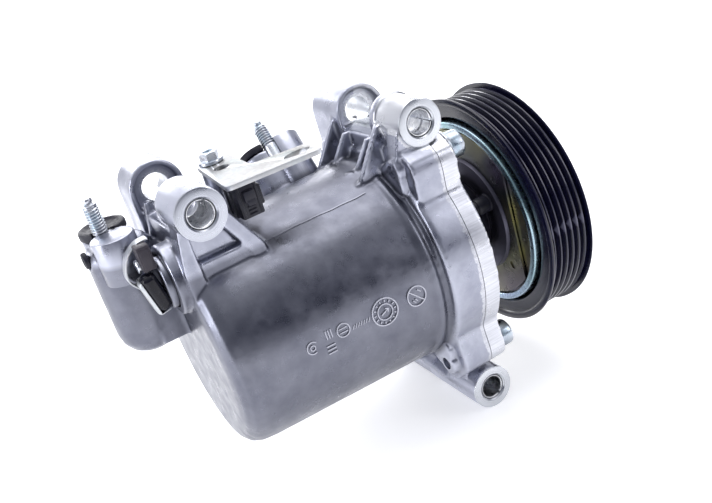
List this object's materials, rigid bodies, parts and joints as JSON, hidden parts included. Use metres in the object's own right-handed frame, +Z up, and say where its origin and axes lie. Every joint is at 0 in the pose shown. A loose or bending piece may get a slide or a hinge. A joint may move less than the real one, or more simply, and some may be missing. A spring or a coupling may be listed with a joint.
{
  "type": "car air conditioning compressor",
  "caption": "Belt-driven rotary-vane refrigerant compressor in a cup-shaped cast casing with mounting lugs, clutch coil and grooved pulley.",
  "frame": {"origin": "centre of the casing's flat rear face, on the shaft axis", "axes": "+X along the shaft towards the pulley, +Y along the lug bolts from the near lug faces to the far ones, +Z up"},
  "size_m": [0.218, 0.1172, 0.1602],
  "materials": {
    "cast_aluminium": "as cast, fine blasted grain",
    "machined_casting": "cast with turned faces",
    "steel": "ground",
    "zinc_plated_steel": "bright zinc plating",
    "black_painted_steel": "gloss black electrocoat",
    "passivated_steel": "yellow-olive passivated zinc",
    "black_plastic": "moulded",
    "brown_plastic": "moulded",
    "rubber": "moulded"
  },
  "bodies": {
    "housing": {"rear_casing": "cast_aluminium", "front_head": "machined_casting", "head_seal": "rubber", "head_screw_1": "zinc_plated_steel", "head_screw_2": "zinc_plated_steel", "head_screw_3": "zinc_plated_steel", "head_screw_4": "zinc_plated_steel", "front_top_bush": "steel", "front_bottom_bush": "steel", "rear_top_bush": "steel", "discharge_stud": "zinc_plated_steel", "discharge_cap": "black_plastic", "chamber_plug": "black_plastic", "oil_separator": "steel", "suction_stud": "zinc_plated_steel", "suction_cap": "black_plastic", "bracket_plate": "zinc_plated_steel", "bracket_screw": "zinc_plated_steel", "clutch_connector": "black_plastic", "switch_body": "steel", "switch_housing": "brown_plastic", "switch_plug": "rubber", "switch_clip": "zinc_plated_steel", "switch_screw": "zinc_plated_steel", "field_coil": "zinc_plated_steel", "coil_plate": "passivated_steel", "coil_lead": "black_plastic", "coil_snap_ring": "steel", "pulley_snap_ring": "steel", "bearing_inner_race": "steel", "shaft_seal": "rubber", "front_bearing": "steel", "rear_bearing": "steel", "cylinder": "steel", "rear_side_block": "cast_aluminium", "front_side_block": "cast_aluminium"},
    "pulley": {"pulley": "black_painted_steel", "bearing_outer_race": "steel", "bearing_cage": "rubber"},
    "shaft": {"shaft": "steel", "rotor": "steel", "clutch_hub": "steel", "hub_nut": "zinc_plated_steel"},
    "armature": {"armature_plate": "steel"},
    "vane_1": {"vane_1": "steel"},
    "vane_2": {"vane_2": "steel"},
    "vane_3": {"vane_3": "steel"},
    "vane_4": {"vane_4": "steel"},
    "vane_5": {"vane_5": "steel"}
  },
  "joints": [
    {"name": "pulley_spin", "type": "hinge", "parent": "housing", "child": "pulley", "pos_m": [0.1623, 0, 0], "axis": [1, 0, 0], "continuous": true},
    {"name": "shaft_spin", "type": "hinge", "parent": "housing", "child": "shaft", "pos_m": [0.09, 0, 0], "axis": [1, 0, 0], "continuous": true},
    {"name": "armature_slide", "type": "slide", "parent": "shaft", "child": "armature", "axis": [-1, 0, 0], "range_m": [0, 0.0005], "stiffness_N_per_m": 20000},
    {"name": "vane_slide_1", "type": "slide", "parent": "shaft", "child": "vane_1", "axis": [0, 0, 1], "range_m": [-0.0025, 0]},
    {"name": "vane_slide_2", "type": "slide", "parent": "shaft", "child": "vane_2", "axis": [0, 0.9511, 0.309], "range_m": [-0.0025, 0]},
    {"name": "vane_slide_3", "type": "slide", "parent": "shaft", "child": "vane_3", "axis": [0, 0.5878, -0.809], "range_m": [-0.0025, 0]},
    {"name": "vane_slide_4", "type": "slide", "parent": "shaft", "child": "vane_4", "axis": [0, -0.5878, -0.809], "range_m": [-0.0025, 0]},
    {"name": "vane_slide_5", "type": "slide", "parent": "shaft", "child": "vane_5", "axis": [0, -0.9511, 0.309], "range_m": [-0.0025, 0]}
  ]
}
